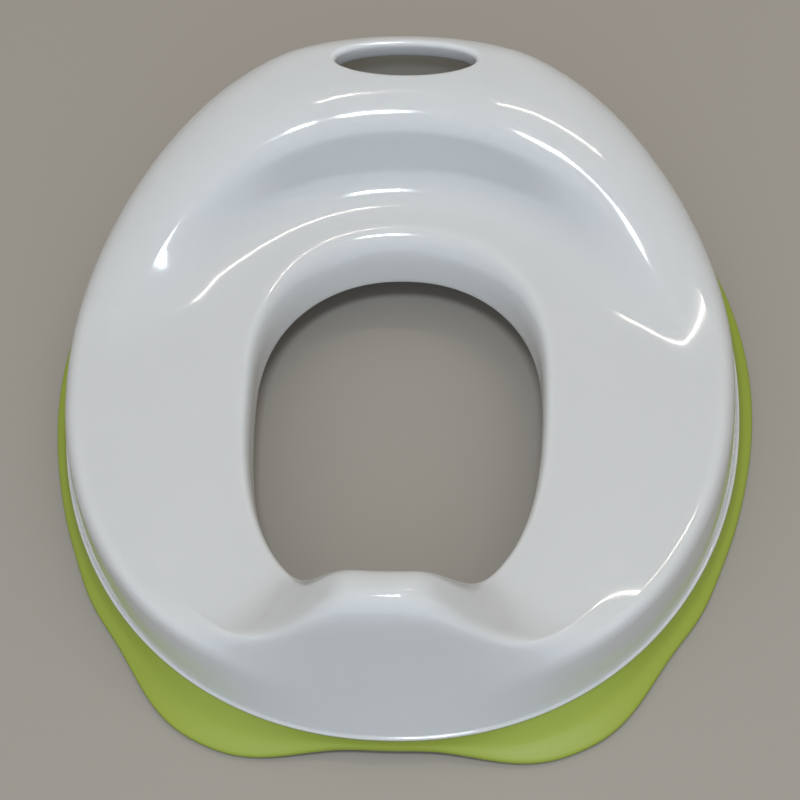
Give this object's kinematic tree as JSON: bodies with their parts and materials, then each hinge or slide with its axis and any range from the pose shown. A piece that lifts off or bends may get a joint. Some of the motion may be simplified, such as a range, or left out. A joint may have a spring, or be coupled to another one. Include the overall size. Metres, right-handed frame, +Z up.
{
  "type": "toilet seat reducer",
  "caption": "Child's toilet seat reducer: a hollow moulded seat with an oval opening, raised back with a hand slot, front splash guard, and a wide base ring with front feet and rubber pads.",
  "frame": {"origin": "under the middle of the object, on the plane that the pads stand on", "axes": "+Z up, the splash guard at -Y, the raised back with the hand slot at +Y, +X to the left of a child who sits facing the guard"},
  "size_m": [0.3512, 0.3674, 0.103],
  "materials": {
    "white_gloss_plastic": "glossy white injection moulding",
    "green_satin_plastic": "satin green injection moulding",
    "grey_rubber": "soft matte rubber",
    "zinc_steel": "zinc-plated steel"
  },
  "bodies": {
    "root": {"seat_shell": "white_gloss_plastic", "base_ring": "green_satin_plastic", "grip_pad_1": "grey_rubber", "grip_pad_2": "grey_rubber", "grip_pad_3": "grey_rubber", "grip_pad_4": "grey_rubber", "grip_pad_5": "grey_rubber", "grip_pad_6": "grey_rubber", "base_screw_1": "zinc_steel", "base_screw_2": "zinc_steel", "base_screw_3": "zinc_steel", "base_screw_4": "zinc_steel"}
  },
  "joints": []
}
